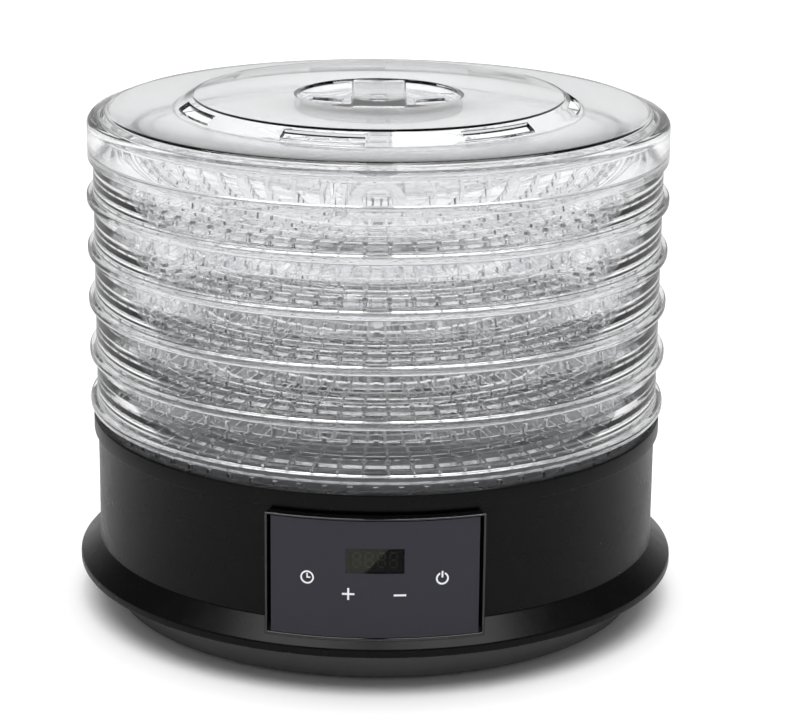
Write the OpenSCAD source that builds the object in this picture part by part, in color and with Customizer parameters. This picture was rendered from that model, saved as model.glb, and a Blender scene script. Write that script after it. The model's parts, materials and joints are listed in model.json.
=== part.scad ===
// Round food dehydrator: a black base with fan, heater and touch panel, five clear trays and a clear lid.
// Millimetres. The axis of the stack is Z, the table is at z = 0 and the panel faces -Y.

/* [Base] */
// Radius of the skirt's lip
skirt_r = 165; // [164:0.5:165.5]
// Radius of the drum's wall
drum_r = 154; // [153.8:0.1:154.2]
// Height of the drum's top edge above the table
base_top = 105.5; // [105:0.1:106]
// Height at which the skirt leaves the drum
skirt_top = 35.5; // [35:0.1:36]
// Height of the skirt's lip above the table
lip_z = 20.5; // [20:0.1:21]
// Height of the rubber feet
foot_h = 2.2; // [1.5:0.1:3]

/* [Trays] */
// Height that each tray adds to the stack
tray_pitch = 28.35; // [27:0.05:30]
// Outer radius of a tray's wall
tray_wall_r = 154.2; // [154:0.1:154.3]
// Outer radius of the flange at a tray's foot
flange_r = 157.8; // [157:0.1:159]
// Thickness of the flange
flange_t = 4.2; // [3:0.1:5]
// Number of tabs on the nesting ring
tab_count = 72; // [36:4:90]

/* [Lid] */
// Outer radius of the lid's wall
lid_r = 157; // [156.8:0.1:158]
// Depth by which the lid's edge hangs over the top tray
lid_overlap = 5; // [3:0.5:7]
// Radius of the raised centre of the lid
plateau_r = 100; // [96:1:104]
// Radius of the recess for the vent dial
recess_r = 43.2; // [42:0.1:46]
// Number of slots in the lid's sloping ring
lid_slots = 7; // [5:1:8]

/* [Panel] */
// Radius of the fascia's curved face
panel_r = 161; // [160.6:0.1:161.4]
// Half of the angle that the panel covers
panel_angle = 20.4; // [20:0.1:24]

/* [Fan and heater] */
// Number of fan blades
blade_count = 7; // [5:1:9]
// Radius of the fan wheel
fan_r = 54; // [40:1:60]
// Inner radius of the heat shield
shield_r = 79.2; // [78:0.2:79.2]

/* [Hidden] */
$fn = 96;

// Heights along the stack
tray_total = 5;
seat_z = base_top - 3.1;
tab_h = 4.4;
flange_z = 8.4;
floor_top = flange_z + flange_t;
floor_t = 2.2;
wall_top = tray_pitch + flange_z - 0.2;
top_tray_z = seat_z + (tray_total - 1) * tray_pitch;
ledge_z = top_tray_z + wall_top + 0.3;

// Radii of the base
collar_r = drum_r + 2.3;
collar_in = 150.6;
drum_in = drum_r - 2.8;
collar_z = base_top - 9.5;
floor_z = foot_h + 2.5;
deck_z = seat_z - 6;
deck_top = deck_z + 2.6;
post_r = 132;
lip_h = 4.5;
inlet_z = 54;
inlet_bore_r = 3.6;

// Radii of a tray
ring_out = 149.6;
ring_in = 147.6;
wall_in = 150.2;
ring_radii = [18, 46, 75, 101, 123, 139];
ring_widths = [6, 3, 6, 3, 3, 6];

// Heights of the lid
shoulder_z = ledge_z + 16.6;
lid_top = ledge_z + 20.6;
plateau_z = lid_top + 7;
recess_floor = lid_top;
dial_gap = 0.3;
dial_top = recess_floor + 2;
bar_w = 30;

// Panel
panel_z0 = lip_z + 7.6;
panel_z1 = collar_z - 1.7;
window_angle = 5.25;
window_z = [65, 78.1];
board_y = 146;
board_t = 1.6;
key_positions = [[-12.3, 61.7], [-4.8, 53.9], [4.5, 53.4], [12.2, 61.6]];

// Fan and motor
shaft_r = 2.5;
shaft_clear = 0.05;
motor_r = 26;
bracket_z = 44;
coil_z = 87;
coil_radii = [34, 48, 62];

black = [0.06, 0.06, 0.065];
dark = [0.12, 0.12, 0.14];
clear = [0.85, 0.88, 0.9, 0.35];
steel = [0.72, 0.73, 0.75];

// ---- shared shapes ----

// Turns something that stands in front of the axis to an azimuth, counted from the front
module at_azimuth(a) {
    rotate([0, 0, a]) children();
}

// A flat ring
module ring(r_out, r_in, h) {
    difference() {
        cylinder(h = h, r = r_out);
        translate([0, 0, -1]) cylinder(h = h + 2, r = r_in);
    }
}

// A curved block between two radii and two heights, centred on an azimuth
module arc_block(r_in, r_out, z0, z1, azimuth, width) {
    rotate([0, 0, azimuth - 90 - width / 2])
        rotate_extrude(angle = width)
            translate([r_in, z0]) square([r_out - r_in, z1 - z0]);
}

// A screw with its head's underside at z = 0 and its shank pointing down
module screw(head_r, head_h, shank_r, length) {
    cylinder(h = head_h, r = head_r);
    translate([0, 0, -length]) cylinder(h = length, r = shank_r);
}

// Direction of a route of points at one of them
function unit(v) = v / norm(v);
function heading(route, i) =
    i == 0 ? unit(route[1] - route[0]) :
    i == len(route) - 1 ? unit(route[i] - route[i - 1]) :
    unit(unit(route[i + 1] - route[i]) + unit(route[i] - route[i - 1]));
function side_of(route, i, guide) = unit(cross(guide, heading(route, i)));

// Points around a route, one circle of them at each of its points
function tube_points(route, r, sides, guide) = [
    for (i = [0 : len(route) - 1], k = [0 : sides - 1])
        let (u = side_of(route, i, guide), v = cross(heading(route, i), u), a = k * 360 / sides)
            route[i] + r * (u * cos(a) + v * sin(a))
];

// An insulated wire, swept along its route as a closed mesh with eight sides
module wire(route, r) {
    sides = 8;
    last = len(route) - 1;
    walls = [
        for (i = [0 : last - 1], k = [0 : sides - 1])
            let (a = i * sides + k, b = i * sides + (k + 1) % sides)
                each [[a, a + sides, b + sides], [a, b + sides, b]]
    ];
    caps = [[for (k = [0 : sides - 1]) k], [for (k = [sides - 1 : -1 : 0]) last * sides + k]];
    polyhedron(points = tube_points(route, r, sides, [0.36, 0.48, 0.8]), faces = concat(walls, caps));
}

// Six places near the drum's wall
module at_posts() {
    for (a = [0 : 60 : 300]) rotate([0, 0, a]) translate([post_r, 0, 0]) children();
}

// Four corners of a rectangle
module at_corners(x0, x1, y) {
    for (x = [x0, x1], s = [-1, 1]) translate([x, s * y, 0]) children();
}

// ---- base ----

module base_shell() {
    profile = [
        [skirt_r - 0.8, lip_z], [skirt_r, lip_z + 0.8], [skirt_r, lip_z + lip_h - 0.8],
        [skirt_r - 0.9, lip_z + lip_h], [drum_r, skirt_top], [drum_r, collar_z - 0.4],
        [collar_r, collar_z + 0.2], [collar_r, base_top - 0.9], [collar_r - 0.9, base_top],
        [collar_in + 0.3, base_top], [collar_in, base_top - 0.3], [collar_in, deck_z],
        [144, deck_z], [144, deck_z - 3], [drum_in, deck_z - 3], [drum_in, 43.2],
        [drum_in - 2.8, 43.2], [drum_in - 2.8, 41.2], [drum_in, 41.2], [drum_in, skirt_top - 1.1],
        [skirt_r - 2.6, lip_z + 2.3], [skirt_r - 2.6, lip_z]
    ];
    color(black)
        difference() {
            rotate_extrude() polygon(profile);
            arc_block(drum_in - 4, drum_r + 2, 47, 89, 0, 32);
            translate([0, drum_in - 4, inlet_z]) rotate([-90, 0, 0]) cylinder(h = 12, r = 7.1);
        }
}

// The band under the skirt, with a ledge that the bottom plate lies on
module lower_ring() {
    profile = [
        [138, foot_h], [145, foot_h], [150.2, 22], [150.8, 40.9], [148.4, 40.9], [147.9, 22.5],
        [143.2, floor_z], [143.2, foot_h + 1.2], [138, foot_h + 1.2]
    ];
    color(dark) rotate_extrude() polygon(profile);
}

module base_bottom() {
    profile = [
        [0, foot_h], [137.8, foot_h], [137.8, foot_h + 1.25], [143, foot_h + 1.25], [143, floor_z],
        [0, floor_z]
    ];
    color(black)
        difference() {
            rotate_extrude() polygon(profile);
            at_posts() cylinder(h = 20, r = 1.75);
            at_posts() translate([0, 0, -1]) cylinder(h = foot_h + 2.2, r = 4.1);
            for (a = [0 : 20 : 340]) rotate([0, 0, a + 10]) translate([32, -1.8, -1]) cube([34, 3.6, 8]);
        }
}

// Pillars on the bottom plate, for the motor's bracket and the power board
module inner_pillars() {
    color(dark)
        difference() {
            union() {
                at_corners(-80, 80, 8) translate([0, 0, floor_z])
                    cylinder(h = bracket_z - 0.1 - floor_z, r = 4);
                at_corners(-120, -92, 36) translate([0, 0, floor_z]) cylinder(h = 19.9 - floor_z, r = 3);
            }
            at_corners(-80, 80, 8) translate([0, 0, 31]) cylinder(h = 20, r = 1.35);
            at_corners(-120, -92, 36) translate([0, 0, 9]) cylinder(h = 20, r = 1.15);
        }
}

module rubber_feet() {
    color([0.1, 0.1, 0.1])
        for (a = [45 : 90 : 315]) rotate([0, 0, a]) translate([125, 0, 0]) cylinder(h = foot_h, r = 9);
}

module bottom_screws() {
    color(steel)
        at_posts() translate([0, 0, foot_h + 1.1]) rotate([180, 0, 0]) screw(3.5, 1, 1.5, 20);
}

// The heat resistant cover under the trays, with the seat of the lowest tray around its edge
module air_deck() {
    profile = [
        [74, deck_z], [150.2, deck_z], [150.2, seat_z], [145.8, seat_z], [145.8, deck_top],
        [77, deck_top], [77, deck_z + 1], [74, deck_z + 1]
    ];
    color(dark)
        difference() {
            union() {
                rotate_extrude() polygon(profile);
                at_posts() translate([0, 0, floor_z + 0.1]) cylinder(h = deck_z - floor_z + 0.4, r = 4.5);
            }
            at_posts() translate([0, 0, floor_z - 1]) cylinder(h = 21, r = 1.55);
            for (a = [45 : 90 : 315]) rotate([0, 0, a]) translate([83, 0, deck_z - 1]) cylinder(h = 3, r = 1.15);
        }
}

module outlet_grille() {
    grille_z = deck_z + 1.1;
    grille_t = 1.6;
    color(dark)
        translate([0, 0, grille_z]) union() {
            ring(76.7, 72, grille_t);
            for (r = [24, 36, 48, 60]) ring(r + 1.2, r - 1.2, grille_t);
            cylinder(h = grille_t, r = 12);
            for (a = [0 : 30 : 330]) rotate([0, 0, a]) translate([11, -1, 0]) cube([62, 2, grille_t]);
        }
}

// ---- panel ----

// Space that the drum and its skirt fill, which the panel's pieces are trimmed to
module skirt_envelope() {
    rotate_extrude()
        polygon([[0, 0], [skirt_r + 2, 0], [skirt_r + 2, lip_z + lip_h - 2.7], [skirt_r - 0.9, lip_z + lip_h + 0.2],
                 [drum_r + 0.15, skirt_top + 0.2], [0, skirt_top + 0.2]]);
}

module panel_frame() {
    rim = 1.3;
    rim_angle = panel_angle - 0.55;
    color(black)
        difference() {
            union() {
                arc_block(drum_r + 0.2, panel_r + 0.5, panel_z0, panel_z1, 0, 2 * panel_angle);
                for (x = [-35.5, 35.5], z = [53.5, 83]) translate([x, -150.4, z]) rotate([-90, 0, 0])
                    cylinder(h = 2.7, r = 3);
            }
            arc_block(drum_r + 1.4, panel_r + 2, panel_z0 + 2, panel_z1 - rim, 0, 2 * rim_angle);
            arc_block(drum_r - 2, drum_r + 3, 62, 81, 0, 14);
            for (k = key_positions) at_azimuth(k[0]) translate([0, -drum_r - 3, k[1]]) rotate([-90, 0, 0])
                cylinder(h = 6, r = 4);
            skirt_envelope();
        }
}

module panel_fascia() {
    color([0.16, 0.16, 0.19])
        difference() {
            arc_block(panel_r - 1.5, panel_r, panel_z0 + 2.2, panel_z1 - 1.5, 0, 2 * (panel_angle - 1.2));
            arc_block(panel_r - 3, panel_r + 1, window_z[0] - 0.15, window_z[1] + 0.15, 0, 2 * window_angle + 0.15);
        }
}

module display_window() {
    color([0.03, 0.03, 0.04])
        arc_block(panel_r - 1.5, panel_r, window_z[0], window_z[1], 0, 2 * window_angle);
}

// One seven-segment figure, seen from the front
module figure_eight(w, h, t) {
    for (z = [-1, 0, 1]) translate([-w / 2 + t, -0.3, z * (h - t) / 2 - t / 2]) cube([w - 2 * t, 0.3, t]);
    for (x = [-1, 1], z = [-1, 1])
        translate([x * (w - t) / 2 - t / 2, -0.3, z * (h - t) / 4 - (h - t) / 4 + t / 2 + 0.1])
            cube([t, 0.3, (h - t) / 2 - t - 0.2]);
}

module display_digits() {
    color([0.32, 0.3, 0.22])
        for (i = [-1.5 : 1 : 1.5]) translate([i * 6.2, -158.6, 71.55]) figure_eight(4.4, 8.6, 0.9);
}

module display_module() {
    color([0.8, 0.8, 0.78])
        translate([-14.2, -158.5, 65.4]) cube([28.4, 158.5 - board_y - board_t - 0.1, 12.3]);
}

module control_board() {
    color([0.1, 0.35, 0.2])
        difference() {
            translate([-39, -board_y - board_t, 48.5]) cube([78, board_t, 39.5]);
            for (x = [-35.5, 35.5], z = [53.5, 83])
                translate([x, -board_y - 3, z]) rotate([-90, 0, 0]) cylinder(h = 4, r = 1.3);
        }
}

// Sprung contacts between the board and the back of the fascia
module touch_springs() {
    spring_r = 2.6;
    color([0.85, 0.7, 0.35])
        for (k = key_positions) {
            start = (board_y + board_t + 0.2) / cos(k[0]) + spring_r * tan(abs(k[0]));
            at_azimuth(k[0]) translate([0, -start, k[1]]) rotate([90, 0, 0])
                cylinder(h = panel_r - 1.7 - start, r = spring_r);
        }
}

// Lays a flat shape on the fascia, at a key's azimuth and height
module printed(key) {
    at_azimuth(key[0]) translate([0, -panel_r, key[1]]) rotate([90, 0, 0])
        linear_extrude(0.25) children();
}

module flat_ring(r_out, r_in) {
    difference() {
        circle(r = r_out);
        circle(r = r_in);
    }
}

// Generic printed symbols: clock, plus, minus and power
module panel_marks() {
    line = 1;
    long = 6.3;
    color([0.95, 0.95, 0.95]) {
        printed(key_positions[0]) {
            flat_ring(3.5, 2.7);
            translate([-0.35, -0.35]) square([0.7, 2.5]);
            translate([-0.35, -0.35]) square([2, 0.7]);
        }
        printed(key_positions[1]) {
            square([long, line], center = true);
            square([line, long], center = true);
        }
        printed(key_positions[2]) square([long, line], center = true);
        printed(key_positions[3]) {
            difference() {
                flat_ring(3.35, 2.45);
                translate([-1.2, 1]) square([2.4, 4]);
            }
            translate([-0.45, 0.5]) square([0.9, 3.4]);
        }
    }
}

// ---- air and heat ----

module heat_shield() {
    color(steel)
        difference() {
            union() {
                translate([0, 0, 50]) ring(shield_r + 0.8, shield_r, deck_z - 50.1);
                translate([0, 0, deck_z - 1.1]) ring(86.5, shield_r, 1);
            }
            for (a = [45 : 90 : 315]) rotate([0, 0, a]) translate([83, 0, deck_z - 3]) cylinder(h = 4, r = 1.3);
        }
}

module shield_screws() {
    color(steel)
        for (a = [45 : 90 : 315]) rotate([0, 0, a]) translate([83, 0, deck_z - 1.1]) rotate([180, 0, 0])
            screw(2.4, 1.6, 1.05, 2.8);
}

// Two crossed heat-proof boards with notches that hold the coil
module heater_frame() {
    board_z = 80;
    color([0.85, 0.83, 0.75])
        difference() {
            union() {
                translate([-78.8, -1, board_z]) cube([157.6, 2, 13]);
                translate([-1, -78.8, board_z]) cube([2, 157.6, 13]);
            }
            for (a = [0 : 90 : 270], r = coil_radii)
                rotate([0, 0, a]) translate([r - 1.3, -2, coil_z - 1.2]) cube([2.6, 4, 10]);
        }
}

module heater_coil() {
    wire_r = 1.1;
    color([0.6, 0.58, 0.55]) {
        for (r = coil_radii) translate([0, 0, coil_z]) rotate_extrude() translate([r, 0]) circle(r = wire_r, $fn = 24);
        for (a = [20, 45, 110])
            rotate([0, 0, a]) translate([coil_radii[0], 0, coil_z]) rotate([0, 90, 0])
                cylinder(h = coil_radii[a == 45 ? 2 : 1] - coil_radii[0], r = wire_r, $fn = 24);
    }
}

module thermostat() {
    color([0.75, 0.74, 0.7])
        translate([shield_r + 0.9, 0, 72]) rotate([0, 90, 0]) union() {
            cylinder(h = 5, r = 8);
            translate([-2, -7, 4.5]) cube([4, 1, 6]);
            translate([-2, 6, 4.5]) cube([4, 1, 6]);
        }
}

module thermal_fuse() {
    color([0.8, 0.8, 0.75]) translate([14, 3.6, 83]) rotate([0, 90, 0]) cylinder(h = 14, r = 2.4);
}

module air_sensor() {
    color([0.15, 0.15, 0.16])
        translate([-75, 20, 92.5]) {
            rotate([0, 90, 0]) cylinder(h = 16, r = 1);
            translate([17, 0, 0]) sphere(r = 2);
        }
}

// ---- fan ----

module motor_bracket() {
    color(steel)
        difference() {
            union() {
                translate([-88, -13, bracket_z]) cube([176, 26, 1.5]);
                for (y = [-13, 11.5]) translate([-88, y, bracket_z]) cube([176, 1.5, 5.4]);
            }
            translate([0, 0, bracket_z - 1]) cylinder(h = 4, r = 8.4);
            at_corners(-80, 80, 8) translate([0, 0, bracket_z - 1]) cylinder(h = 4, r = 1.7);
            for (x = [-17, 17]) translate([x, 0, bracket_z - 1]) cylinder(h = 4, r = 1.7);
        }
}

module bracket_screws() {
    color(steel) at_corners(-80, 80, 8) translate([0, 0, bracket_z + 1.5]) screw(2.8, 1.8, 1.3, 13);
}

module fan_motor() {
    color([0.55, 0.56, 0.58])
        difference() {
            union() {
                translate([0, 0, 18]) cylinder(h = bracket_z - 18.1, r = motor_r);
                translate([0, 0, 30]) cylinder(h = bracket_z - 26.5, r = 8);
                translate([0, 0, 14]) cylinder(h = 6, r = 8);
            }
            translate([0, 0, 10]) cylinder(h = 60, r = shaft_r + shaft_clear);
            for (x = [-17, 17]) translate([x, 0, bracket_z - 7]) cylinder(h = 10, r = 1.55);
        }
}

module motor_screws() {
    color(steel) for (x = [-17, 17]) translate([x, 0, bracket_z + 1.5]) screw(2.8, 1.8, 1.5, 7);
}

module fan_shaft() {
    color(steel) translate([0, 0, 12]) cylinder(h = 65, r = shaft_r);
}

module fan_wheel() {
    hub_z = 53;
    hub_h = 19;
    color([0.2, 0.2, 0.21])
        difference() {
            union() {
                translate([0, 0, hub_z]) cylinder(h = hub_h, r = 10);
                for (i = [0 : blade_count - 1]) rotate([0, 0, i * 360 / blade_count])
                    translate([8, 0, hub_z + hub_h / 2]) rotate([35, 0, 0]) translate([0, -11, -0.8])
                        cube([fan_r - 8, 22, 1.6]);
            }
            translate([0, 0, hub_z - 1]) cylinder(h = hub_h + 2, r = shaft_r + shaft_clear);
        }
}

module shaft_nut() {
    color(steel)
        translate([0, 0, 72.1]) difference() {
            cylinder(h = 4, r = 5, $fn = 6);
            translate([0, 0, -1]) cylinder(h = 6, r = shaft_r + shaft_clear);
        }
}

// ---- electrics ----

module power_board() {
    color([0.1, 0.35, 0.2])
        difference() {
            translate([-124, -42, 20]) cube([36, 84, 1.5]);
            at_corners(-120, -92, 36) translate([0, 0, 18]) cylinder(h = 6, r = 1.3);
        }
}

module power_parts() {
    board_top = 21.6;
    color([0.15, 0.25, 0.55]) {
        translate([-117, -31, board_top]) cube([22, 23, 16]);
        translate([-114, 2, board_top]) cube([16, 20, 14]);
        translate([-106, 31, board_top]) cylinder(h = 14, r = 5);
        translate([-92, -10, board_top]) cube([2, 20, 12]);
    }
}

module board_screws() {
    color(steel) at_corners(-120, -92, 36) translate([0, 0, 21.6]) screw(2.4, 1.6, 1.1, 12);
}

module terminal_block() {
    color([0.9, 0.88, 0.8])
        translate([94, -12, foot_h + 2.6]) union() {
            cube([28, 24, 9]);
            for (y = [0, 7.3, 14.7, 22]) translate([0, y, 8]) cube([28, 2, 6]);
        }
}

module cord_inlet() {
    color([0.08, 0.08, 0.08])
        translate([0, 0, inlet_z]) rotate([-90, 0, 0]) difference() {
            union() {
                translate([0, 0, drum_in - 3.6]) cylinder(h = 3, r = 9.5);
                translate([0, 0, drum_in - 1]) cylinder(h = 5, r = 7);
                translate([0, 0, drum_r + 0.1]) cylinder(h = 3, r = 10);
            }
            translate([0, 0, drum_in - 6]) cylinder(h = 20, r = inlet_bore_r);
        }
}

module wiring() {
    wire_r = 1.2;
    color([0.75, 0.2, 0.15]) {
        wire([[0, 146.2, inlet_z], [30, 128, 30], [86, 60, 20], [108, 30, 11], [108, 13.4, 9]], wire_r);
        wire([[108, -13.4, 9], [108, -40, 10], [60, -80, 10], [-60, -80, 10], [-106, -60, 14],
              [-106, -43.3, 20.8]], wire_r);
        wire([[-86.6, 20, 20.8], [-70, 36, 34], [-46, 46, 47], [-44, 44, 84.5]], wire_r);
        wire([[-86.6, -22, 20.8], [-60, -22, 24], [-24, -14, 28]], wire_r);
        wire([[-96, -43.3, 20.8], [-94, -70, 30], [-30, -130, 46], [-20, -144.7, 56]], wire_r);
    }
}

// ---- trays and lid ----

// One clear tray, standing on the tabs of its nesting ring
module tray() {
    profile = [
        [ring_in, 0], [ring_out, 0], [ring_out, flange_z], [flange_r - 0.6, flange_z],
        [flange_r, flange_z + 0.6], [flange_r, floor_top - 0.6], [flange_r - 0.6, floor_top],
        [tray_wall_r, floor_top], [tray_wall_r, wall_top - 0.3], [tray_wall_r - 0.3, wall_top],
        [wall_in + 0.3, wall_top], [wall_in, wall_top - 0.3], [wall_in, tray_pitch - 1.5],
        [wall_in - 2, floor_top], [ring_in, floor_top]
    ];
    inner_ribs = 18;
    outer_ribs = 36;
    color(clear)
        union() {
            difference() {
                rotate_extrude() polygon(profile);
                for (i = [0 : tab_count - 1]) rotate([0, 0, i * 360 / tab_count])
                    translate([ring_in - 2, -1.3, -1]) cube([6, 2.6, tab_h + 1]);
            }
            translate([0, 0, floor_top - floor_t]) linear_extrude(floor_t) difference() {
                union() {
                    for (i = [0 : len(ring_radii) - 1]) difference() {
                        circle(r = ring_radii[i] + ring_widths[i] / 2);
                        circle(r = ring_radii[i] - ring_widths[i] / 2);
                    }
                    for (i = [0 : inner_ribs - 1]) rotate(i * 360 / inner_ribs)
                        translate([ring_radii[0], -1]) square([ring_radii[2] - ring_radii[0], 2]);
                    for (i = [0 : outer_ribs - 1]) rotate(i * 360 / outer_ribs)
                        translate([ring_radii[2], -1]) square([ring_in + 0.3 - ring_radii[2], 2]);
                }
            }
        }
}

module place_tray(n) {
    translate([0, 0, seat_z + (tray_total - n) * tray_pitch]) tray();
}

module lid() {
    corner = 4.6;
    wall_t = 5.8;
    inner_top = lid_top - 2.3;
    profile = concat(
        [[lid_r - 2.3, ledge_z - lid_overlap], [lid_r, ledge_z - lid_overlap], [lid_r, shoulder_z - corner]],
        [for (a = [15 : 15 : 75]) [lid_r - corner + corner * cos(a), shoulder_z - corner + corner * sin(a)]],
        [[147, lid_top - 1.6], [145.2, lid_top], [plateau_r + 10.6, lid_top], [plateau_r + 0.4, plateau_z - 0.2],
         [plateau_r, plateau_z], [recess_r + 0.3, plateau_z], [recess_r, plateau_z - 0.3],
         [recess_r, recess_floor], [4.2, recess_floor], [4.2, recess_floor - 2.2],
         [recess_r + 2.2, recess_floor - 2.2], [recess_r + 2.2, plateau_z - 2.3], [plateau_r - 0.6, plateau_z - 2.3],
         [plateau_r + 9.9, inner_top], [145, inner_top], [lid_r - wall_t - 1, lid_top - 5],
         [lid_r - wall_t, lid_top - 7], [lid_r - wall_t, ledge_z], [lid_r - 2.3, ledge_z]]
    );
    slot_width = 24;
    first_slot = -67;
    color(clear)
        difference() {
            union() {
                rotate_extrude() polygon(profile);
                arc_block(lid_r - 1, lid_r + 0.8, ledge_z - 4, shoulder_z - corner, -7, 2);
            }
            for (i = [0 : lid_slots - 1])
                arc_block(plateau_r + 3, plateau_r + 8, lid_top - 6, plateau_z + 2,
                          first_slot + i * 360 / lid_slots, slot_width);
            for (a = [-90, 90]) arc_block(20, 38, recess_floor - 5, recess_floor + 2, a, 40);
        }
}

module vent_dial() {
    dial_r = recess_r - 0.5;
    disc_z = recess_floor + dial_gap;
    color(clear)
        difference() {
            union() {
                translate([0, 0, disc_z]) cylinder(h = dial_top - disc_z, r = dial_r);
                intersection() {
                    translate([-bar_w / 2, -dial_r, disc_z]) cube([bar_w, 2 * dial_r, plateau_z - disc_z]);
                    translate([0, 0, disc_z]) cylinder(h = 12, r = dial_r);
                }
                translate([0, 0, recess_floor - 5.4]) cylinder(h = 7, r = 4.12);
            }
            for (a = [-90, 90]) arc_block(20, 38, recess_floor - 1, dial_top + 1, a, 40);
        }
}

module dial_clip() {
    color(steel) translate([0, 0, recess_floor - 4.8]) ring(9, 4.12, 2.3);
}

base_shell();
lower_ring();
base_bottom();
inner_pillars();
rubber_feet();
bottom_screws();
air_deck();
outlet_grille();
panel_frame();
panel_fascia();
panel_marks();
display_window();
display_digits();
display_module();
control_board();
touch_springs();
cord_inlet();
heat_shield();
shield_screws();
heater_frame();
heater_coil();
thermostat();
thermal_fuse();
air_sensor();
motor_bracket();
bracket_screws();
fan_motor();
motor_screws();
fan_shaft();
fan_wheel();
shaft_nut();
power_board();
power_parts();
board_screws();
terminal_block();
wiring();
place_tray(1);  // tray_1
place_tray(2);  // tray_2
place_tray(3);  // tray_3
place_tray(4);  // tray_4
place_tray(5);  // tray_5
lid();
vent_dial();
dial_clip();
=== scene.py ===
"""Looks of a round food dehydrator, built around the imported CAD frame. Metres, +Z up, panel towards -Y."""
import json
import math

import bmesh
import bpy
from mathutils import Matrix, Vector


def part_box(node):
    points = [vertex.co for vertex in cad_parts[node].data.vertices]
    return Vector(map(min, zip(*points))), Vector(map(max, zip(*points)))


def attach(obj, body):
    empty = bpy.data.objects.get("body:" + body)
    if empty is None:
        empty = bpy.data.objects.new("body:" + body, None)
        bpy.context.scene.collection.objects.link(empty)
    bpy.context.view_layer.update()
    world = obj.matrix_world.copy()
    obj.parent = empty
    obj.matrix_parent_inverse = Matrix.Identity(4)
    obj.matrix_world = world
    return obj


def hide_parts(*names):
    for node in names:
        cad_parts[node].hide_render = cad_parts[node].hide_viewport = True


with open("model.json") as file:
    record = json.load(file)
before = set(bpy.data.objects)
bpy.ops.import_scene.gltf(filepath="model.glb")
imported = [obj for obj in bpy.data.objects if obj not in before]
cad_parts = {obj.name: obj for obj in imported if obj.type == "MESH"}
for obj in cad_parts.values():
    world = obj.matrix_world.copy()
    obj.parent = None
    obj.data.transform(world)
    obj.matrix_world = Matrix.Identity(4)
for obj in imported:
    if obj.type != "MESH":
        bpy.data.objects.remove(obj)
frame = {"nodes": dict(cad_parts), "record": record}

MM = 0.001
TAU = 2 * math.pi
NODES = frame["nodes"]
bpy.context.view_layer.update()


# ---------------------------------------------------------------- camera


def make_camera():
    """Camera at the photograph's viewing angle: in front, a little above the lid."""
    pitch = math.radians(16.33)
    roll = math.radians(0.46)
    data = bpy.data.cameras.new("camera")
    data.sensor_width = 36
    data.lens = 123.8
    data.shift_x = 0.0213
    data.clip_start = 0.05
    data.clip_end = 60
    cam = bpy.data.objects.new("camera", data)
    bpy.context.scene.collection.objects.link(cam)
    look = Matrix.Rotation(math.pi / 2 - pitch, 4, "X") @ Matrix.Rotation(roll, 4, "Z")
    cam.matrix_world = Matrix.Translation((0, -1.4395, 0.54975)) @ look
    bpy.context.scene.camera = cam


# ---------------------------------------------------------------- mesh helpers


def add_mesh(name, verts, faces, sharp=32):
    """A mesh object with smooth faces, and sharp edges where faces meet at more than an angle."""
    mesh = bpy.data.meshes.new(name)
    mesh.from_pydata(verts, [], faces)
    mesh.validate()
    work = bmesh.new()
    work.from_mesh(mesh)
    bmesh.ops.recalc_face_normals(work, faces=work.faces)
    loose = [v for v in work.verts if not v.link_faces]
    bmesh.ops.delete(work, geom=loose, context="VERTS")
    work.to_mesh(mesh)
    work.free()
    mesh.shade_smooth()
    mesh.set_sharp_from_angle(angle=math.radians(sharp))
    obj = bpy.data.objects.new(name, mesh)
    bpy.context.scene.collection.objects.link(obj)
    return obj


def fillet(points, radii, steps=4):
    """Rounds the corners of a closed outline of (r, z) points. radii maps a corner's index to its radius."""
    out = []
    count = len(points)
    for i, p in enumerate(points):
        radius = radii.get(i, 0)
        if not radius:
            out.append(p)
            continue
        here = Vector(p)
        back = (Vector(points[i - 1]) - here).normalized()
        ahead = (Vector(points[(i + 1) % count]) - here).normalized()
        half = back.angle(ahead) / 2
        reach = radius / math.tan(half)
        centre = here + (back + ahead).normalized() * (radius / math.sin(half))
        start = here + back * reach - centre
        end = here + ahead * reach - centre
        turn = start.angle(end)
        for k in range(steps + 1):
            t = k / steps
            arm = (start * math.sin((1 - t) * turn) + end * math.sin(t * turn)) / math.sin(turn)
            out.append(tuple(centre + arm))
    return out


def nearest(profile, point):
    """Index of the outline's point that lies nearest to a given (r, z)."""
    return min(range(len(profile)), key=lambda i: (Vector(profile[i]) - Vector(point)).length)


def lathe(name, profile, angles=None, state=None, sections=None, ends=None, count=288, sharp=32):
    """Turns a closed outline of (r, z) in metres round Z. With angles given, each step between two
    angles has a state; sections[state] lists that state's loops of outline indices, and ends[state]
    is the outline patch that closes a cut's side walls."""
    if angles is None:
        angles = [TAU * i / count for i in range(count)]
    total = len(angles)
    n = len(profile)
    verts = [(r * math.cos(a), r * math.sin(a), z) for a in angles for r, z in profile]
    faces = []
    whole = [list(range(n))]
    for j in range(total):
        nxt = (j + 1) % total
        kind = state(j) if state else 0
        for loop in sections[kind] if sections else whole:
            for i, a in enumerate(loop):
                b = loop[(i + 1) % len(loop)]
                faces.append((j * n + a, nxt * n + a, nxt * n + b, j * n + b))
        before = state(j - 1) if state else 0
        if kind != before:
            cut = kind if ends.get(kind) else before
            patch = [j * n + i for i in ends[cut]]
            faces.append(patch if cut == kind else patch[::-1])
    return add_mesh(name, verts, faces, sharp)


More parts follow.
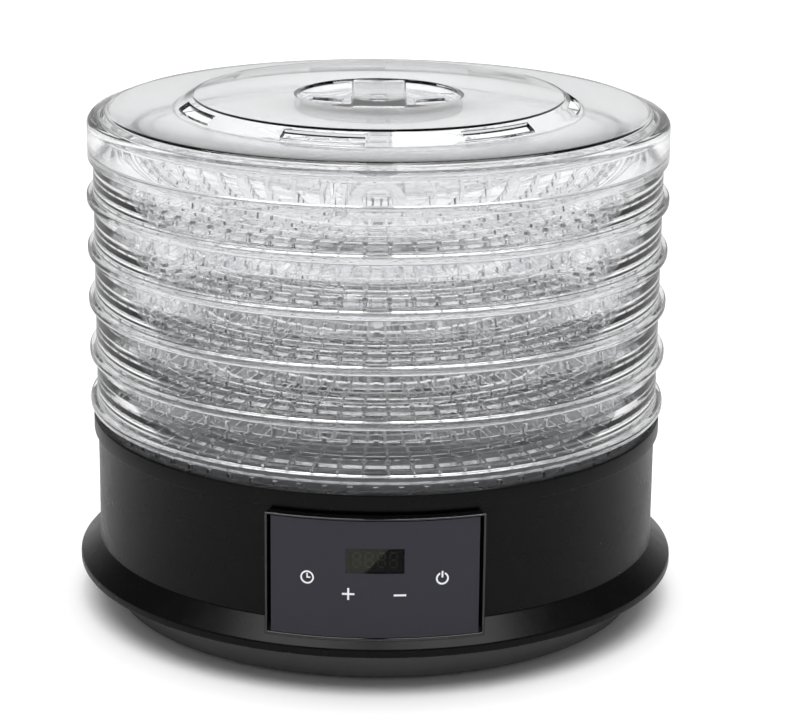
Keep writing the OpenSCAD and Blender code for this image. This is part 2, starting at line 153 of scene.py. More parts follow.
def cell_solid(us, vs, filled, place):
    """A closed solid made of the filled cells of a grid. us wraps round, and place(u, v, side) gives
    a point on the underside (side 0) or top (side 1)."""
    verts = []
    index = {}
    nu = len(us)

    def vert(i, j, side):
        key = (i % nu, j, side)
        if key not in index:
            index[key] = len(verts)
            verts.append(place(i % nu, j, side))
        return index[key]

    def is_filled(i, j):
        return 0 <= j < len(vs) - 1 and filled(i % nu, j)

    faces = []
    for i in range(nu):
        for j in range(len(vs) - 1):
            if not is_filled(i, j):
                continue
            a, b = i + 1, j + 1
            faces.append([vert(i, j, 1), vert(i, b, 1), vert(a, b, 1), vert(a, j, 1)][::-1])
            faces.append([vert(i, j, 0), vert(i, b, 0), vert(a, b, 0), vert(a, j, 0)])
            if not is_filled(i - 1, j):
                faces.append([vert(i, j, 0), vert(i, j, 1), vert(i, b, 1), vert(i, b, 0)][::-1])
            if not is_filled(a, j):
                faces.append([vert(a, j, 0), vert(a, b, 0), vert(a, b, 1), vert(a, j, 1)][::-1])
            if not is_filled(i, j - 1):
                faces.append([vert(i, j, 0), vert(a, j, 0), vert(a, j, 1), vert(i, j, 1)][::-1])
            if not is_filled(i, b):
                faces.append([vert(i, b, 0), vert(i, b, 1), vert(a, b, 1), vert(a, b, 0)][::-1])
    return verts, faces


def join(target, others):
    """Joins meshes into one object."""
    with bpy.context.temp_override(
        active_object=target, selected_editable_objects=[target, *others], selected_objects=[target, *others]
    ):
        bpy.ops.object.join()
    return target


# ---------------------------------------------------------------- materials


class Look:
    """One material with its node tree, and short calls to add to it."""

    def __init__(self, name):
        self.material = bpy.data.materials.new(name)
        self.material.use_nodes = True
        self.tree = self.material.node_tree
        self.nodes = self.tree.nodes
        self.shader = self.nodes["Principled BSDF"]
        self.coords = self.nodes.new("ShaderNodeTexCoord")

    def link(self, a, b):
        """Links an output to an input."""
        self.tree.links.new(a, b)

    def noise(self, scale, detail=3, stretch=(1, 1, 1)):
        """A noise value in the piece's own coordinates."""
        mapping = self.nodes.new("ShaderNodeMapping")
        mapping.inputs["Scale"].default_value = stretch
        node = self.nodes.new("ShaderNodeTexNoise")
        node.inputs["Scale"].default_value = scale
        node.inputs["Detail"].default_value = detail
        self.link(self.coords.outputs["Object"], mapping.inputs["Vector"])
        self.link(mapping.outputs["Vector"], node.inputs["Vector"])
        return node.outputs["Fac"]

    def remap(self, value, low, high):
        """Spreads the middle of a noise value over low to high."""
        node = self.nodes.new("ShaderNodeMapRange")
        node.inputs["From Min"].default_value = 0.3
        node.inputs["From Max"].default_value = 0.7
        node.inputs["To Min"].default_value = low
        node.inputs["To Max"].default_value = high
        self.link(value, node.inputs["Value"])
        return node.outputs["Result"]

    def vary_colour(self, value, dark, light):
        """Base colour that goes from one colour to another as a value rises."""
        node = self.nodes.new("ShaderNodeMix")
        node.data_type = "RGBA"
        node.inputs["A"].default_value = (*dark, 1)
        node.inputs["B"].default_value = (*light, 1)
        self.link(value, node.inputs["Factor"])
        self.link(node.outputs["Result"], self.shader.inputs["Base Color"])

    def vary_roughness(self, value, low, high):
        """Roughness that follows a noise value."""
        self.link(self.remap(value, low, high), self.shader.inputs["Roughness"])

    def bump(self, value, strength, distance):
        """Surface relief that follows a value; distance is in metres."""
        node = self.nodes.new("ShaderNodeBump")
        node.inputs["Strength"].default_value = strength
        node.inputs["Distance"].default_value = distance
        self.link(value, node.inputs["Height"])
        self.link(node.outputs["Normal"], self.shader.inputs["Normal"])


def value_of(tree, operation, *inputs):
    """A math node's result. An input is a number or another node's output."""
    node = tree.nodes.new("ShaderNodeMath")
    node.operation = operation
    for socket, value in zip(node.inputs, inputs):
        if isinstance(value, bpy.types.NodeSocket):
            tree.links.new(value, socket)
        else:
            socket.default_value = value
    return node.outputs["Value"]


def ray_kind(tree, kind):
    """1 for rays of a kind, such as "Is Diffuse Ray", and 0 for the others."""
    return tree.nodes.new("ShaderNodeLightPath").outputs[kind]


def through_plastic(tree):
    """1 for rays that have gone into clear plastic, and 0 for the others."""
    return value_of(tree, "GREATER_THAN", ray_kind(tree, "Transmission Depth"), 0.5)


def mirror_ray(tree):
    """1 for rays that an outer surface reflects, and 0 for the others."""
    outside = value_of(tree, "SUBTRACT", 1.0, through_plastic(tree))
    return value_of(tree, "MULTIPLY", ray_kind(tree, "Is Glossy Ray"), outside)


def shade(colour, factor):
    """A colour made lighter or darker."""
    return tuple(min(1, c * factor) for c in colour)


def plastic(name, colour, rough, grain=900, bump=0.0, spread=0.12, coat=0.0, gloss=0.5):
    """Moulded plastic: a faint grain, and patches where it is a little more or less glossy."""
    look = Look(name)
    patches = look.noise(14, 4)
    look.vary_colour(patches, shade(colour, 1 - spread), shade(colour, 1 + spread))
    look.vary_roughness(look.noise(60, 5), rough * 0.88, rough * 1.12)
    if bump:
        look.bump(look.noise(grain, 2), bump, 0.0001)
    look.shader.inputs["Specular IOR Level"].default_value = gloss
    look.shader.inputs["Coat Weight"].default_value = coat
    look.shader.inputs["Coat Roughness"].default_value = 0.04
    return look.material


def metal(name, colour, rough, stretch=(1, 1, 1), bump=0.15):
    """Plain metal with fine drawn lines."""
    look = Look(name)
    look.shader.inputs["Metallic"].default_value = 1
    lines = look.noise(220, 4, stretch)
    look.vary_colour(lines, shade(colour, 0.85), shade(colour, 1.08))
    look.vary_roughness(lines, rough * 0.75, rough * 1.3)
    look.bump(lines, bump, 0.00005)
    return look.material


def clear_plastic(name, tint=(0.945, 0.95, 0.955), rough=0.03):
    """Clear styrene with faint flow marks. Shadow and diffuse rays pass straight through it."""
    look = Look(name)
    look.shader.inputs["Base Color"].default_value = (*tint, 1)
    look.shader.inputs["Transmission Weight"].default_value = 1
    look.shader.inputs["IOR"].default_value = 1.49
    look.vary_roughness(look.noise(35, 3), rough * 0.5, rough * 1.5)
    look.bump(look.noise(9, 2), 0.05, 0.0004)
    path = look.nodes.new("ShaderNodeLightPath")
    either = look.nodes.new("ShaderNodeMath")
    either.operation = "MAXIMUM"
    look.link(path.outputs["Is Shadow Ray"], either.inputs[0])
    look.link(path.outputs["Is Diffuse Ray"], either.inputs[1])
    through = look.nodes.new("ShaderNodeBsdfTransparent")
    through.inputs["Color"].default_value = (0.93, 0.93, 0.94, 1)
    mix = look.nodes.new("ShaderNodeMixShader")
    look.link(either.outputs["Value"], mix.inputs["Fac"])
    look.link(look.shader.outputs["BSDF"], mix.inputs[1])
    look.link(through.outputs["BSDF"], mix.inputs[2])
    look.link(mix.outputs["Shader"], look.nodes["Material Output"].inputs["Surface"])
    return look.material


def smoked_display_with_painted_glare(name):
    """Smoked display window: a faintly see-through pane with a painted reflection. Its upper left is lighter
    and glossier than its lower right, split along a slanted line.
    """
    look = Look(name)
    split = look.nodes.new("ShaderNodeSeparateXYZ")
    look.link(look.coords.outputs["Object"], split.inputs["Vector"])
    # Painted reflection: the slanted line splits the pane into a lighter, glossier upper left, which stands
    # in for a light mirrored in the window, and a darker lower right.
    slant = value_of(look.tree, "MULTIPLY_ADD", split.outputs["Z"], -0.95, 0.0671)
    past_glare_edge = value_of(look.tree, "ADD", split.outputs["X"], slant)
    outside_painted_glare = value_of(look.tree, "GREATER_THAN", past_glare_edge, 0.0)
    # The first colour is the painted reflection on the upper left; the second is the pane's own dark smoke.
    # The gloss is also raised under the painted reflection.
    look.vary_colour(outside_painted_glare, (0.04, 0.039, 0.033), (0.013, 0.0125, 0.014))
    gloss = value_of(look.tree, "MULTIPLY_ADD", outside_painted_glare, -0.36, 0.42)
    look.link(gloss, look.shader.inputs["Specular IOR Level"])
    look.vary_roughness(look.noise(60, 3), 0.07, 0.1)
    through = look.nodes.new("ShaderNodeBsdfTransparent")
    through.inputs["Color"].default_value = (0.8, 0.8, 0.7, 1)
    mix = look.nodes.new("ShaderNodeMixShader")
    mix.inputs["Fac"].default_value = 0.5
    look.link(look.shader.outputs["BSDF"], mix.inputs[1])
    look.link(through.outputs["BSDF"], mix.inputs[2])
    look.link(mix.outputs["Shader"], look.nodes["Material Output"].inputs["Surface"])
    return look.material


def make_materials():
    """Every material, by its slot's name."""
    return {
        "satin_black": plastic("satin_black", (0.003, 0.0028, 0.003), 0.27, bump=0.25, gloss=0.175),
        "gloss_black": plastic("gloss_black", (0.005, 0.005, 0.006), 0.12, coat=0.9, gloss=0.5),
        "fascia_gloss": plastic("fascia_gloss", (0.022, 0.0212, 0.03), 0.08, spread=0.04, gloss=0.44),
        # Painted light: ring_grey, on the lower ring, is a lighter grey than the satin black base, so the
        # ring looks lit by the floor beside it.
        "ring_grey": plastic("ring_grey", (0.085, 0.084, 0.087), 0.42, bump=0.2, gloss=0.25),
        "display_black": smoked_display_with_painted_glare("display_black"),
        "print_white": plastic("print_white", (0.86, 0.87, 0.88), 0.5, spread=0.03),
        "digit_grey": plastic("digit_grey", (0.34, 0.33, 0.24), 0.5),
        "module_plastic": plastic("module_plastic", (0.03, 0.03, 0.03), 0.5, bump=0.2),
        "circuit_board": plastic("circuit_board", (0.02, 0.12, 0.05), 0.35, coat=0.2),
        "contact_brass": metal("contact_brass", (0.8, 0.58, 0.25), 0.3),
        "bush_rubber": plastic("bush_rubber", (0.02, 0.02, 0.02), 0.7, grain=600, bump=0.4),
        "foot_rubber": plastic("foot_rubber", (0.025, 0.025, 0.025), 0.75, grain=500, bump=0.4),
        "screw_steel": metal("screw_steel", (0.6, 0.61, 0.63), 0.3),
        "sheet_steel": metal("sheet_steel", (0.55, 0.56, 0.58), 0.38, (1, 1, 8)),
        "motor_steel": metal("motor_steel", (0.42, 0.43, 0.45), 0.42, (1, 1, 10)),
        "shaft_steel": metal("shaft_steel", (0.65, 0.65, 0.67), 0.2, (1, 1, 20)),
        "thermostat_metal": metal("thermostat_metal", (0.7, 0.69, 0.67), 0.35),
        "fuse_ceramic": plastic("fuse_ceramic", (0.72, 0.7, 0.64), 0.6, bump=0.2),
        "mica_board": plastic("mica_board", (0.6, 0.55, 0.45), 0.55, grain=400, bump=0.3),
        "coil_wire": metal("coil_wire", (0.35, 0.33, 0.3), 0.5),
        "sensor_black": plastic("sensor_black", (0.02, 0.02, 0.02), 0.4),
        "deck_plastic": plastic("deck_plastic", (0.008, 0.008, 0.009), 0.4, bump=0.3, gloss=0.3),
        "wheel_plastic": plastic("wheel_plastic", (0.05, 0.05, 0.055), 0.45, bump=0.2),
        "parts_blue": plastic("parts_blue", (0.03, 0.07, 0.28), 0.35),
        "terminal_plastic": plastic("terminal_plastic", (0.75, 0.72, 0.63), 0.45),
        "wire_red": plastic("wire_red", (0.42, 0.03, 0.02), 0.45),
        "clear_plastic": clear_plastic("clear_plastic"),
    }


def dress(obj, material):
    """Gives an object one material."""
    obj.data.materials.clear()
    obj.data.materials.append(material)


def dress_cad_nodes(looks):
    """Materials of the CAD nodes, by the slots that the record gives them."""
    for part in frame["record"]["subparts"]:
        obj = NODES[part["node"]]
        for i in range(max(1, len(obj.material_slots))):
            if not obj.material_slots:
                obj.data.materials.append(looks[part["material_slot"]])
            else:
                obj.material_slots[i].material = looks[part["material_slot"]]


def finish_piece(obj, looks, slot, body, *nodes):
    """Gives a new piece its material and slot, and makes it ride on its body in place of CAD nodes."""
    dress(obj, looks[slot])
    if nodes:
        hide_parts(*nodes)
    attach(obj, body)
    return obj


# ---------------------------------------------------------------- trays

TAB_COUNT = 72
RING_OUT = 149.6
RING_IN = 147.6
FLANGE_Z = 8.4
FLANGE_R = 157.8
FLOOR_TOP = 12.6
TAB_H = 4.4
WALL_OUT = 154.2
WALL_IN = 150.2


def tray_wall(wall_top):
    """Wall, flange and castellated nesting ring of one tray, as one closed mesh."""
    neck = wall_top - 9.9
    points = [
        (RING_IN, 0), (RING_OUT, 0), (RING_OUT, TAB_H), (RING_OUT, FLANGE_Z), (FLANGE_R, FLANGE_Z),
        (FLANGE_R, FLOOR_TOP), (WALL_OUT, FLOOR_TOP), (WALL_OUT, wall_top), (WALL_IN, wall_top),
        (WALL_IN, neck), (WALL_IN - 2, FLOOR_TOP), (RING_IN, FLOOR_TOP), (RING_IN, TAB_H),
    ]
    radii = {4: 1.1, 5: 1.1, 6: 0.7, 7: 0.9, 8: 0.9, 9: 6, 10: 0.8}
    profile = [(r * MM, z * MM) for r, z in fillet(points, radii)]
    gap = math.asin(1.3 / RING_OUT)
    angles = []
    kinds = []
    for i in range(TAB_COUNT):
        middle = TAU * i / TAB_COUNT
        step = (TAU / TAB_COUNT - 2 * gap) / 3
        angles += [middle - gap, middle + gap, middle + gap + step, middle + gap + 2 * step]
        kinds += ["gap", "full", "full", "full"]
    n = len(profile)
    sections = {"full": [list(range(n))], "gap": [list(range(2, n))]}
    ends = {"full": None, "gap": [n - 1, 0, 1, 2]}
    return lathe("tray", profile, angles, lambda j: kinds[j], sections, ends)


def tray_floor(name):
    """The tray's floor: rings and fine radial ribs cut from one sheet."""
    floor_t = 2.2
    bands = [
        (9, 15, "ring"), (15, 30, "rib", 4), (30, 32, "ring"), (32, 45, "rib", 4), (45, 47, "ring"),
        (47, 60, "rib", 2), (60, 62, "ring"), (62, 72, "rib", 2), (72, 78, "ring"), (78, 88, "rib", 1),
        (88, 90, "ring"), (90, 101, "rib", 1), (101, 103, "ring"), (103, 114, "rib", 1), (114, 116, "ring"),
        (116, 127, "rib", 1), (127, 129, "ring"), (129, 136, "rib", 1), (136, 141.5, "ring"),
        (141.5, RING_IN + 0.05, "rib", 1),
    ]
    radii = [b[0] for b in bands] + [bands[-1][1]]
    half_rib = 0.75
    count = TAB_COUNT

    def filled(i, j):
        band = bands[j]
        if band[2] == "ring":
            return True
        return i % 2 == 0 and (i // 2) % band[3] == 0

    def place(i, j, side):
        r = radii[j]
        middle = TAU * (i // 2 + 0.5) / count
        edge = math.asin(min(0.4 * r * TAU / count, half_rib) / r)
        a = middle + (edge if i % 2 else -edge)
        z = FLOOR_TOP - floor_t + side * floor_t
        return (r * math.cos(a) * MM, r * math.sin(a) * MM, z * MM)

    verts, faces = cell_solid(list(range(2 * count)), radii, filled, place)
    return add_mesh(name, verts, faces)


def floor_bosses(name):
    """Small rounded bosses on the outer ring of a tray's floor, one at each rib."""
    boss_r = 1.5
    boss_h = 1.6
    sides = 10
    circle_r = 138.75
    outline = [
        (boss_r * 1.1, -0.02), (boss_r, 0.6 * boss_h), (0.72 * boss_r, 0.9 * boss_h), (0.3 * boss_r, boss_h),
    ]
    verts = []
    faces = []
    for i in range(TAB_COUNT):
        a = TAU * (i + 0.5) / TAB_COUNT
        x = circle_r * math.cos(a)
        y = circle_r * math.sin(a)
        base = len(verts)
        for r, z in outline:
            for k in range(sides):
                t = TAU * k / sides
                verts.append(((x + r * math.cos(t)) * MM, (y + r * math.sin(t)) * MM, (FLOOR_TOP + z) * MM))
        for j in range(len(outline) - 1):
            for k in range(sides):
                m = (k + 1) % sides
                faces.append((base + j * sides + k, base + j * sides + m, base + (j + 1) * sides + m,
                              base + (j + 1) * sides + k))
        faces.append([base + k for k in range(sides)][::-1])
        faces.append([base + (len(outline) - 1) * sides + k for k in range(sides)])
    return add_mesh(name, verts, faces)


def make_trays(looks):
    """The five clear trays, each on its own body."""
    for n in range(5, 0, -1):
        low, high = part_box(f"tray_{n}")
        wall = tray_wall((high.z - low.z) / MM)
        wall.name = f"tray_{n}_clear"
        join(wall, [tray_floor("floor"), floor_bosses("bosses")])
        wall.location.z = low.z
        finish_piece(wall, looks, "clear_plastic", f"tray_{n}", f"tray_{n}")


# ---------------------------------------------------------------- lid

LID_R = 157.0
PLATEAU_R = 100.0
RECESS_R = 43.2
SLOTS = 7
FIRST_SLOT = -67
SLOT_WIDTH = 24
RIB_AZIMUTH = -7


def make_lid(looks):
    """The clear lid: hanging edge, wall, rounded shoulder, step, sloping ring with slots and plateau."""
    low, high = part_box("lid")
    edge = low.z / MM
    top = high.z / MM
    ledge = edge + 5
    flat = ledge + 20.6
    shoulder = flat - 4
    wall_t = 5.8
    stub_r = 4.2
    points = [
        (LID_R - 2.3, edge), (LID_R, edge), (LID_R, shoulder), (147.4, flat - 1.6), (146.2, flat),
        (PLATEAU_R + 10.6, flat), (PLATEAU_R + 8, flat + 1.8), (PLATEAU_R + 3, flat + 5.2), (PLATEAU_R, top),
        (RECESS_R, top), (RECESS_R, flat), (stub_r, flat), (stub_r, flat - 2.2), (RECESS_R + 2.2, flat - 2.2),
        (RECESS_R + 2.2, top - 2.3), (PLATEAU_R - 0.6, top - 2.3), (PLATEAU_R + 2.5, top - 4.4),
        (PLATEAU_R + 7.4, flat - 0.7), (PLATEAU_R + 9.9, flat - 2.3), (144.6, flat - 2.3),
        (LID_R - wall_t - 0.6, flat - 5), (LID_R - wall_t, flat - 9), (LID_R - wall_t, ledge),
        (LID_R - 2.3, ledge),
    ]
    radii = {0: 0.5, 1: 0.7, 2: 4.4, 3: 1.8, 4: 1.8, 5: 2.5, 8: 1.8, 9: 0.6, 10: 0.8}
    radii |= {13: 0.8, 14: 0.8, 15: 0.8, 18: 2, 19: 1.5, 20: 2, 21: 1.0, 22: 0.5}
    profile = [(r * MM, z * MM) for r, z in fillet(points, radii)]
    cut = [nearest(profile, (points[i][0] * MM, points[i][1] * MM)) for i in (6, 7, 16, 17)]
    starts = [math.radians(FIRST_SLOT - SLOT_WIDTH / 2 - 90) + TAU * i / SLOTS for i in range(SLOTS)]
    marks = []
    for s in starts:
        width = math.radians(SLOT_WIDTH)
        rest = TAU / SLOTS - width
        marks += [(s + width * k / 16, "slot") for k in range(16)]
        marks += [(s + width + rest * k / 24, "full") for k in range(24)]
    n = len(profile)
    a, b, c, d = cut
    full = [list(range(n))]
    slotted = [list(range(0, a + 1)) + list(range(d, n)), list(range(b, c + 1))]
    lid = lathe("lid_clear", profile, [m[0] for m in marks], lambda j: marks[j][1],
                {"full": full, "slot": slotted}, {"full": None, "slot": [a, b, c, d]})
    combine(lid, [index_rib(edge + 0.8, shoulder - 4.2)], "UNION")
    lid.data.shade_smooth()
    lid.data.set_sharp_from_angle(angle=math.radians(32))
    return finish_piece(lid, looks, "clear_plastic", "lid", "lid")


def index_rib(z0, z1):
    """The lid's upright index mark: two rounded ribs with a flat between them."""
    half = [(1.3, 0.15), (1.6, 1.5), (2.5, 2.2), (3.4, 1.5), (3.7, 0), (3.7, -1)]
    outline = [(-x, y) for x, y in reversed(half)] + half
    n = len(outline)
    turn = Matrix.Rotation(math.radians(RIB_AZIMUTH), 4, "Z")
    verts = [turn @ Vector((x * MM, -(LID_R + y) * MM, z * MM)) for z in (z0, z1) for x, y in outline]
    faces = [(i, (i + 1) % n, n + (i + 1) % n, n + i) for i in range(n)]
    faces += [list(range(n)), list(range(2 * n - 1, n - 1, -1))]
    return add_mesh("rib", verts, faces)


def make_dial(looks):
    """The round vent dial in the lid's recess: a slotted disc with a rounded grip bar across it."""
    low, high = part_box("vent_dial")
    disc_r = 42.7
    disc_t = 1.7
    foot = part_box("lid")[1].z / MM - 6.7
    stub_r = 4.12
    top = foot + disc_t
    points = [(0, low.z / MM), (stub_r, low.z / MM), (stub_r, foot), (disc_r, foot), (disc_r, top), (0, top)]
    profile = [(r * MM, z * MM) for r, z in fillet(points, {1: 0.3, 3: 0.4, 4: 0.6}, 3)]
    profile[0] = (1e-6, profile[0][1])
    profile[-1] = (1e-6, profile[-1][1])
    disc = lathe("vent_dial_clear", profile, count=144)
    bar_w = 30
    bar_top = high.z / MM
    bar = rounded_bar("bar", bar_w, 2 * disc_r - 1.2, foot + 0.4, bar_top, 2.2)
    spans = [[math.radians(a - 90 + t) for t in range(-20, 21, 2)] for a in (90, 270)]
    cutters = [arc_solid("cut", span, 20, 38, foot - 3, top + 3) for span in spans]
    combine(disc, [bar], "UNION")
    combine(disc, cutters, "DIFFERENCE")
    disc.data.shade_smooth()
    disc.data.set_sharp_from_angle(angle=math.radians(32))
    return finish_piece(disc, looks, "clear_plastic", "vent_dial", "vent_dial")


def rounded_bar(name, width, length, z0, z1, radius):
    """A bar along Y with rounded top edges and rounded ends, which follow a circle."""
    half = width / 2
    limit = length / 2
    section = fillet([(-half, z0), (half, z0), (half, z1), (-half, z1)], {2: radius, 3: radius}, 5)
    verts = []
    faces = []
    n = len(section)
    steps = 12
    for j in range(steps + 1):
        side = 2 * j / steps - 1
        for x, z in section:
            reach = math.sqrt(limit * limit - x * x)
            soft = max(0, (z - (z1 - radius)) / radius)
            inset = radius * (1 - math.sqrt(max(0, 1 - soft * soft)))
            verts.append((x * MM, side * (reach - inset) * MM, z * MM))
    for j in range(steps):
        for i in range(n):
            k = (i + 1) % n
            faces.append((j * n + i, j * n + k, (j + 1) * n + k, (j + 1) * n + i))
    faces.append(list(range(n)))
    faces.append([steps * n + i for i in range(n)][::-1])
    return add_mesh(name, verts, faces)


def combine(target, tools, operation):
    """Exact union with, or cut by, other closed meshes."""
    for tool in tools:
        change = target.modifiers.new("combine", "BOOLEAN")
        change.operation = operation
        change.solver = "EXACT"
        change.object = tool
        graph = bpy.context.evaluated_depsgraph_get()
        target.data = bpy.data.meshes.new_from_object(target.evaluated_get(graph))
        target.modifiers.clear()
        bpy.data.objects.remove(tool)


def soften(obj, width, segments=3):
    """Small rounds along the sharp edges."""
    change = obj.modifiers.new("round", "BEVEL")
    change.width = width * MM
    change.segments = segments
    change.limit_method = "ANGLE"
    change.angle_limit = math.radians(40)
    change.harden_normals = True
    return obj


# ---------------------------------------------------------------- base


def make_base(looks):
    """The drum with its collar and sloping skirt, open behind the panel and at the cord inlet."""
    low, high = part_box("base_shell")
    inlet_low, inlet_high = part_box("cord_inlet")
    lip = low.z / MM
    top = high.z / MM
    skirt_r = high.x / MM
    drum_r = skirt_r - 11
    points = [
        (skirt_r, lip), (skirt_r, lip + 4.5), (drum_r, lip + 15), (drum_r, top - 9.9),
        (drum_r + 2.3, top - 9.3), (drum_r + 2.3, top), (150.6, top), (150.6, top - 9.1), (144, top - 9.1),
        (144, top - 12.1), (drum_r - 2.8, top - 12.1), (drum_r - 2.8, lip + 13.9),
        (skirt_r - 2.6, lip + 2.3), (skirt_r - 2.6, lip),
    ]
    radii = {0: 1.1, 1: 1.7, 2: 1.2, 3: 0.25, 4: 0.5, 5: 1.2, 6: 0.4, 13: 0.6}
    profile = [(r * MM, z * MM) for r, z in fillet(points, radii)]
    shell = lathe("base_shell_soft", profile)
    gap = arc_solid("gap", [math.radians(t - 90) for t in range(-16, 17, 2)], drum_r - 8, drum_r + 2, 47, 89)
    centre_z = (inlet_low.z + inlet_high.z) / 2 / MM
    outline = [(0.0001, drum_r - 8), (7.1, drum_r - 8), (7.1, drum_r + 6), (0.0001, drum_r + 6)]
    hole = lathe("hole", [(r * MM, z * MM) for r, z in outline], count=48)
    hole.data.transform(Matrix.Translation((0, 0, centre_z * MM)) @ Matrix.Rotation(-math.pi / 2, 4, "X"))
    combine(shell, [gap, hole], "DIFFERENCE")
    shell.data.shade_smooth()
    shell.data.set_sharp_from_angle(angle=math.radians(32))
    finish_piece(shell, looks, "satin_black", "base", "base_shell")


# ---------------------------------------------------------------- panel


def arc_cells(name, angles, heights, filled, r0, r1):
    """A curved plate between two radii, made of the filled cells of an angle by height grid (mm, radians)."""

    def place(i, j, side):
        r = r1 if side else r0
        return (r * math.cos(angles[i]) * MM, r * math.sin(angles[i]) * MM, heights[j] * MM)

    verts, faces = cell_solid(angles, heights, lambda i, j: i < len(angles) - 1 and filled(i, j), place)
    return add_mesh(name, verts, faces)


def arc_solid(name, angles, r0, r1, z0, z1):
    """A curved block between two radii and two heights (mm)."""
    return arc_cells(name, angles, [z0, z1], lambda i, j: True, r0, r1)


def spread(stops, step=1.2):
    """Angles about the front, in radians, through every stop given in degrees."""
    out = []
    for a, b in zip(stops, stops[1:]):
        parts = max(1, round((b - a) / step))
        out += [a + (b - a) * k / parts for k in range(parts)]
    out.append(stops[-1])
    return [math.radians(a - 90) for a in out]


def make_panel(looks):
    """Bezel and curved fascia with soft edges."""
    low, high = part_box("panel_frame")
    face_low, face_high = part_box("panel_fascia")
    win_low, win_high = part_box("display_window")
    face_r = -face_low.y / MM
    outer = 20.4
    rim_deg = 0.55
    rim = math.radians(outer - rim_deg - 90)
    face_z0 = face_low.z / MM
    face_z1 = face_high.z / MM
    angles = spread([-outer, rim_deg - outer, outer - rim_deg, outer])
    heights = [low.z / MM, face_z0 - 0.15, face_z1 + 0.15, high.z / MM]

    def in_rim(i, j):
        middle = (angles[i] + angles[i + 1]) / 2
        return j != 1 or abs(middle + math.pi / 2) > rim + math.pi / 2

    frame_piece = arc_cells("panel_bezel", angles, heights, in_rim, face_r - 6.8, face_r + 0.5)
    backing = arc_solid("backing", angles, face_r - 6.8, face_r - 5.6, heights[1] + 4, heights[2])
    join(frame_piece, [backing])
    soften(frame_piece, 0.7, 1)
    finish_piece(frame_piece, looks, "gloss_black", "base", "panel_frame")

    window_deg = math.degrees(math.asin(win_high.x / MM / face_r)) + 0.02
    edge_deg = math.degrees(math.asin(face_high.x / MM / face_r))
    face_angles = spread([-edge_deg, -window_deg, window_deg, edge_deg])
    face_heights = [face_z0, win_low.z / MM - 0.03, win_high.z / MM + 0.03, face_z1]
    limit = math.radians(window_deg)

    def in_face(i, j):
        middle = (face_angles[i] + face_angles[i + 1]) / 2 + math.pi / 2
        return j != 1 or abs(middle) > limit

    fascia = arc_cells("panel_fascia_plate", face_angles, face_heights, in_face, face_r - 1.5, face_r)
    soften(fascia, 0.12, 2)
    finish_piece(fascia, looks, "fascia_gloss", "base", "panel_fascia")


# ---------------------------------------------------------------- stage and lights


def make_stage():
    """A white floor, which reflections on the object see dimmer, as under a real softbox."""
    floor = add_mesh("floor", [(-6, -6, 0), (6, -6, 0), (6, 6, 0), (-6, 6, 0)], [(0, 1, 2, 3)])
    look = Look("floor")
    albedo = look.remap(look.noise(3, 2), 0.89, 0.9)
    mirror_dimming = -0.5
    plastic_dimming = -0.27
    albedo = value_of(look.tree, "MULTIPLY_ADD", mirror_ray(look.tree), mirror_dimming, albedo)
    albedo = value_of(look.tree, "MULTIPLY_ADD", through_plastic(look.tree), plastic_dimming, albedo)
    look.link(albedo, look.shader.inputs["Base Color"])
    look.shader.inputs["Roughness"].default_value = 0.6
    dress(floor, look.material)


def area_light(name, place, target, size, power):
    """A rectangular light that faces a point."""
    data = bpy.data.lights.new(name, "AREA")
    data.shape = "RECTANGLE"
    data.size, data.size_y = size
    data.energy = power
    obj = bpy.data.objects.new(name, data)
    bpy.context.scene.collection.objects.link(obj)
    aim = Vector(target) - Vector(place)
    obj.matrix_world = Matrix.Translation(place) @ aim.to_track_quat("-Z", "Y").to_matrix().to_4x4()
    return obj


def rise(tree, value, start, end, low, high):
    """A smooth rise from low to high as a value goes from start to end."""
    ramp = tree.nodes.new("ShaderNodeMapRange")
    ramp.interpolation_type = "SMOOTHSTEP"
    ramp.inputs["From Min"].default_value = start
    ramp.inputs["From Max"].default_value = end
    ramp.inputs["To Min"].default_value = low
    ramp.inputs["To Max"].default_value = high
    tree.links.new(value, ramp.inputs["Value"])
    return ramp.outputs["Result"]


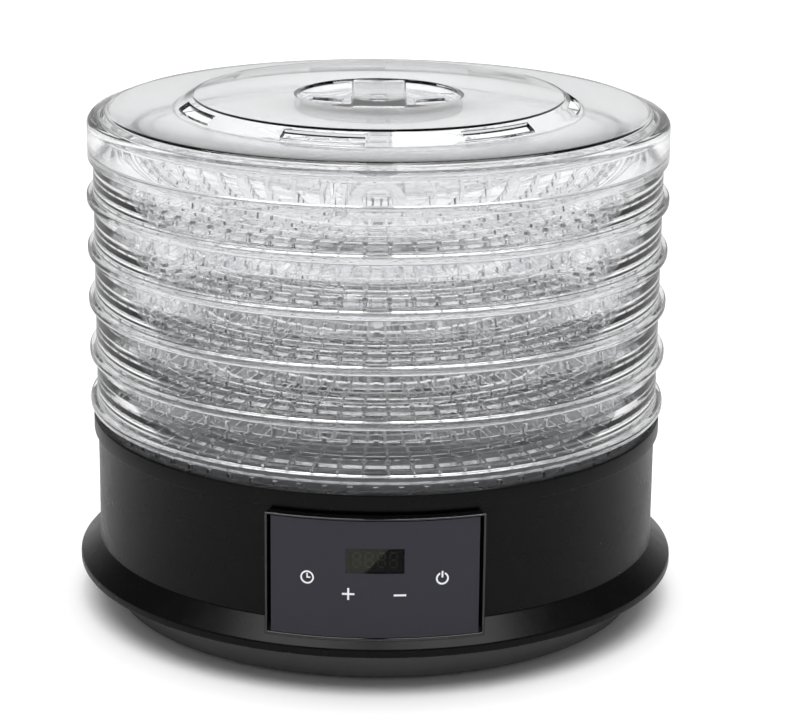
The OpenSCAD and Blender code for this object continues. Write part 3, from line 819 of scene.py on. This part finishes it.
def make_lights():
    """A wide soft sky overhead, two softboxes for reflections, and a world that is white behind."""
    sky = bpy.data.lights.new("soft_sky", "SUN")
    sky.energy = 3.3
    sky.angle = math.radians(70)
    above = bpy.data.objects.new("soft_sky", sky)
    bpy.context.scene.collection.objects.link(above)
    above.location = (0, 0, 2)
    above.visible_glossy = False
    above.visible_transmission = False
    for side in (-1, 1):
        place = (side * 0.55, -0.36, 1.35)
        box = area_light("softbox", place, (place[0], place[1], 0), (0.96, 1.24), 17)
        box.visible_diffuse = False
    world = bpy.data.worlds.new("studio")
    bpy.context.scene.world = world
    world.use_nodes = True
    tree = world.node_tree
    coords = tree.nodes.new("ShaderNodeTexCoord")
    split = tree.nodes.new("ShaderNodeSeparateXYZ")
    tree.links.new(coords.outputs["Generated"], split.inputs["Vector"])
    soft = rise(tree, split.outputs["Y"], -0.1, 0.6, 0.12, 0.85)
    mirrored = rise(tree, split.outputs["Y"], 0.55, 0.95, 0.05, 0.5)
    change = value_of(tree, "SUBTRACT", mirrored, soft)
    seen = value_of(tree, "MULTIPLY_ADD", change, mirror_ray(tree), soft)
    filled = value_of(tree, "MULTIPLY_ADD", ray_kind(tree, "Is Diffuse Ray"), 0.3, seen)
    inside = rise(tree, split.outputs["Y"], -0.1, 0.6, 0.45, 0.86)
    extra = value_of(tree, "SUBTRACT", inside, soft)
    lifted = value_of(tree, "MULTIPLY_ADD", extra, through_plastic(tree), filled)
    bright = value_of(tree, "MAXIMUM", lifted, ray_kind(tree, "Is Camera Ray"))
    tree.links.new(bright, tree.nodes["Background"].inputs["Color"])


def set_light_paths():
    """Enough bounces for a ray to cross the whole clear stack."""
    scene = bpy.context.scene
    scene.view_settings.view_transform = "Standard"
    cycles = scene.cycles
    cycles.max_bounces = 28
    cycles.transmission_bounces = 28
    cycles.glossy_bounces = 6
    cycles.diffuse_bounces = 3
    cycles.transparent_max_bounces = 64


# ---------------------------------------------------------------- everything

make_camera()
looks = make_materials()
dress_cad_nodes(looks)
make_trays(looks)
make_lid(looks)
make_dial(looks)
make_base(looks)
make_panel(looks)
make_stage()
make_lights()
set_light_paths()
